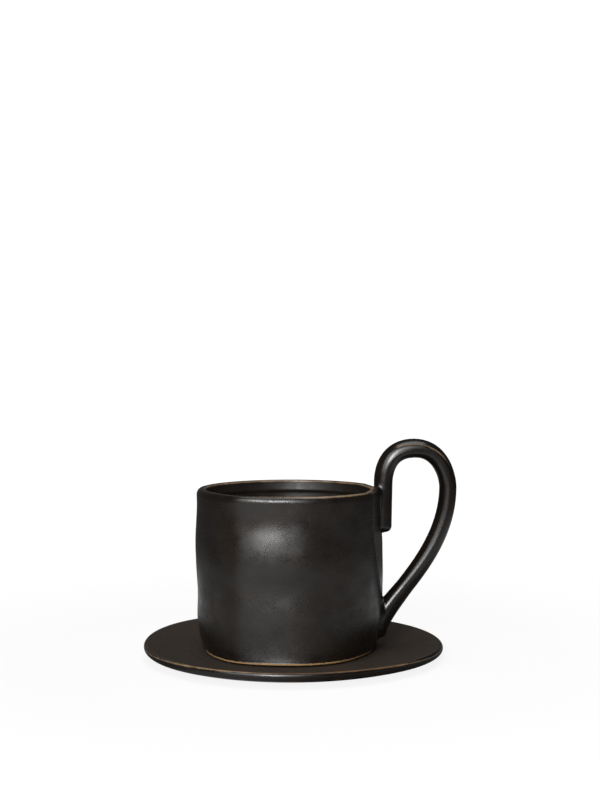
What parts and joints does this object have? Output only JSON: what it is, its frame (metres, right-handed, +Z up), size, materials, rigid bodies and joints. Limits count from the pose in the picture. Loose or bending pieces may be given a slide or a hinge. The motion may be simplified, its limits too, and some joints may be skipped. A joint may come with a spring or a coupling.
{
  "type": "cup with saucer",
  "caption": "Hand-built black stoneware cup with a tall looped coil handle that rises above the rim, standing on a round dished saucer.",
  "frame": {"origin": "middle of the saucer's flat underside, on the table", "axes": "+Z up, +X from the saucer's middle towards the handle"},
  "size_m": [0.1352, 0.13, 0.0942],
  "materials": {
    "cup_glaze": "satin black glaze with brown breaks along the edges",
    "saucer_glaze": "matt brown-black glaze with brown breaks along the edges"
  },
  "bodies": {
    "saucer": {"saucer": "saucer_glaze"},
    "cup": {"cup_wall": "cup_glaze", "cup_floor": "cup_glaze", "handle": "cup_glaze"}
  },
  "joints": [
    {"name": "cup_lift", "type": "slide", "parent": "saucer", "child": "cup", "axis": [0, 0, 1], "range_m": [0, 0.1]}
  ]
}
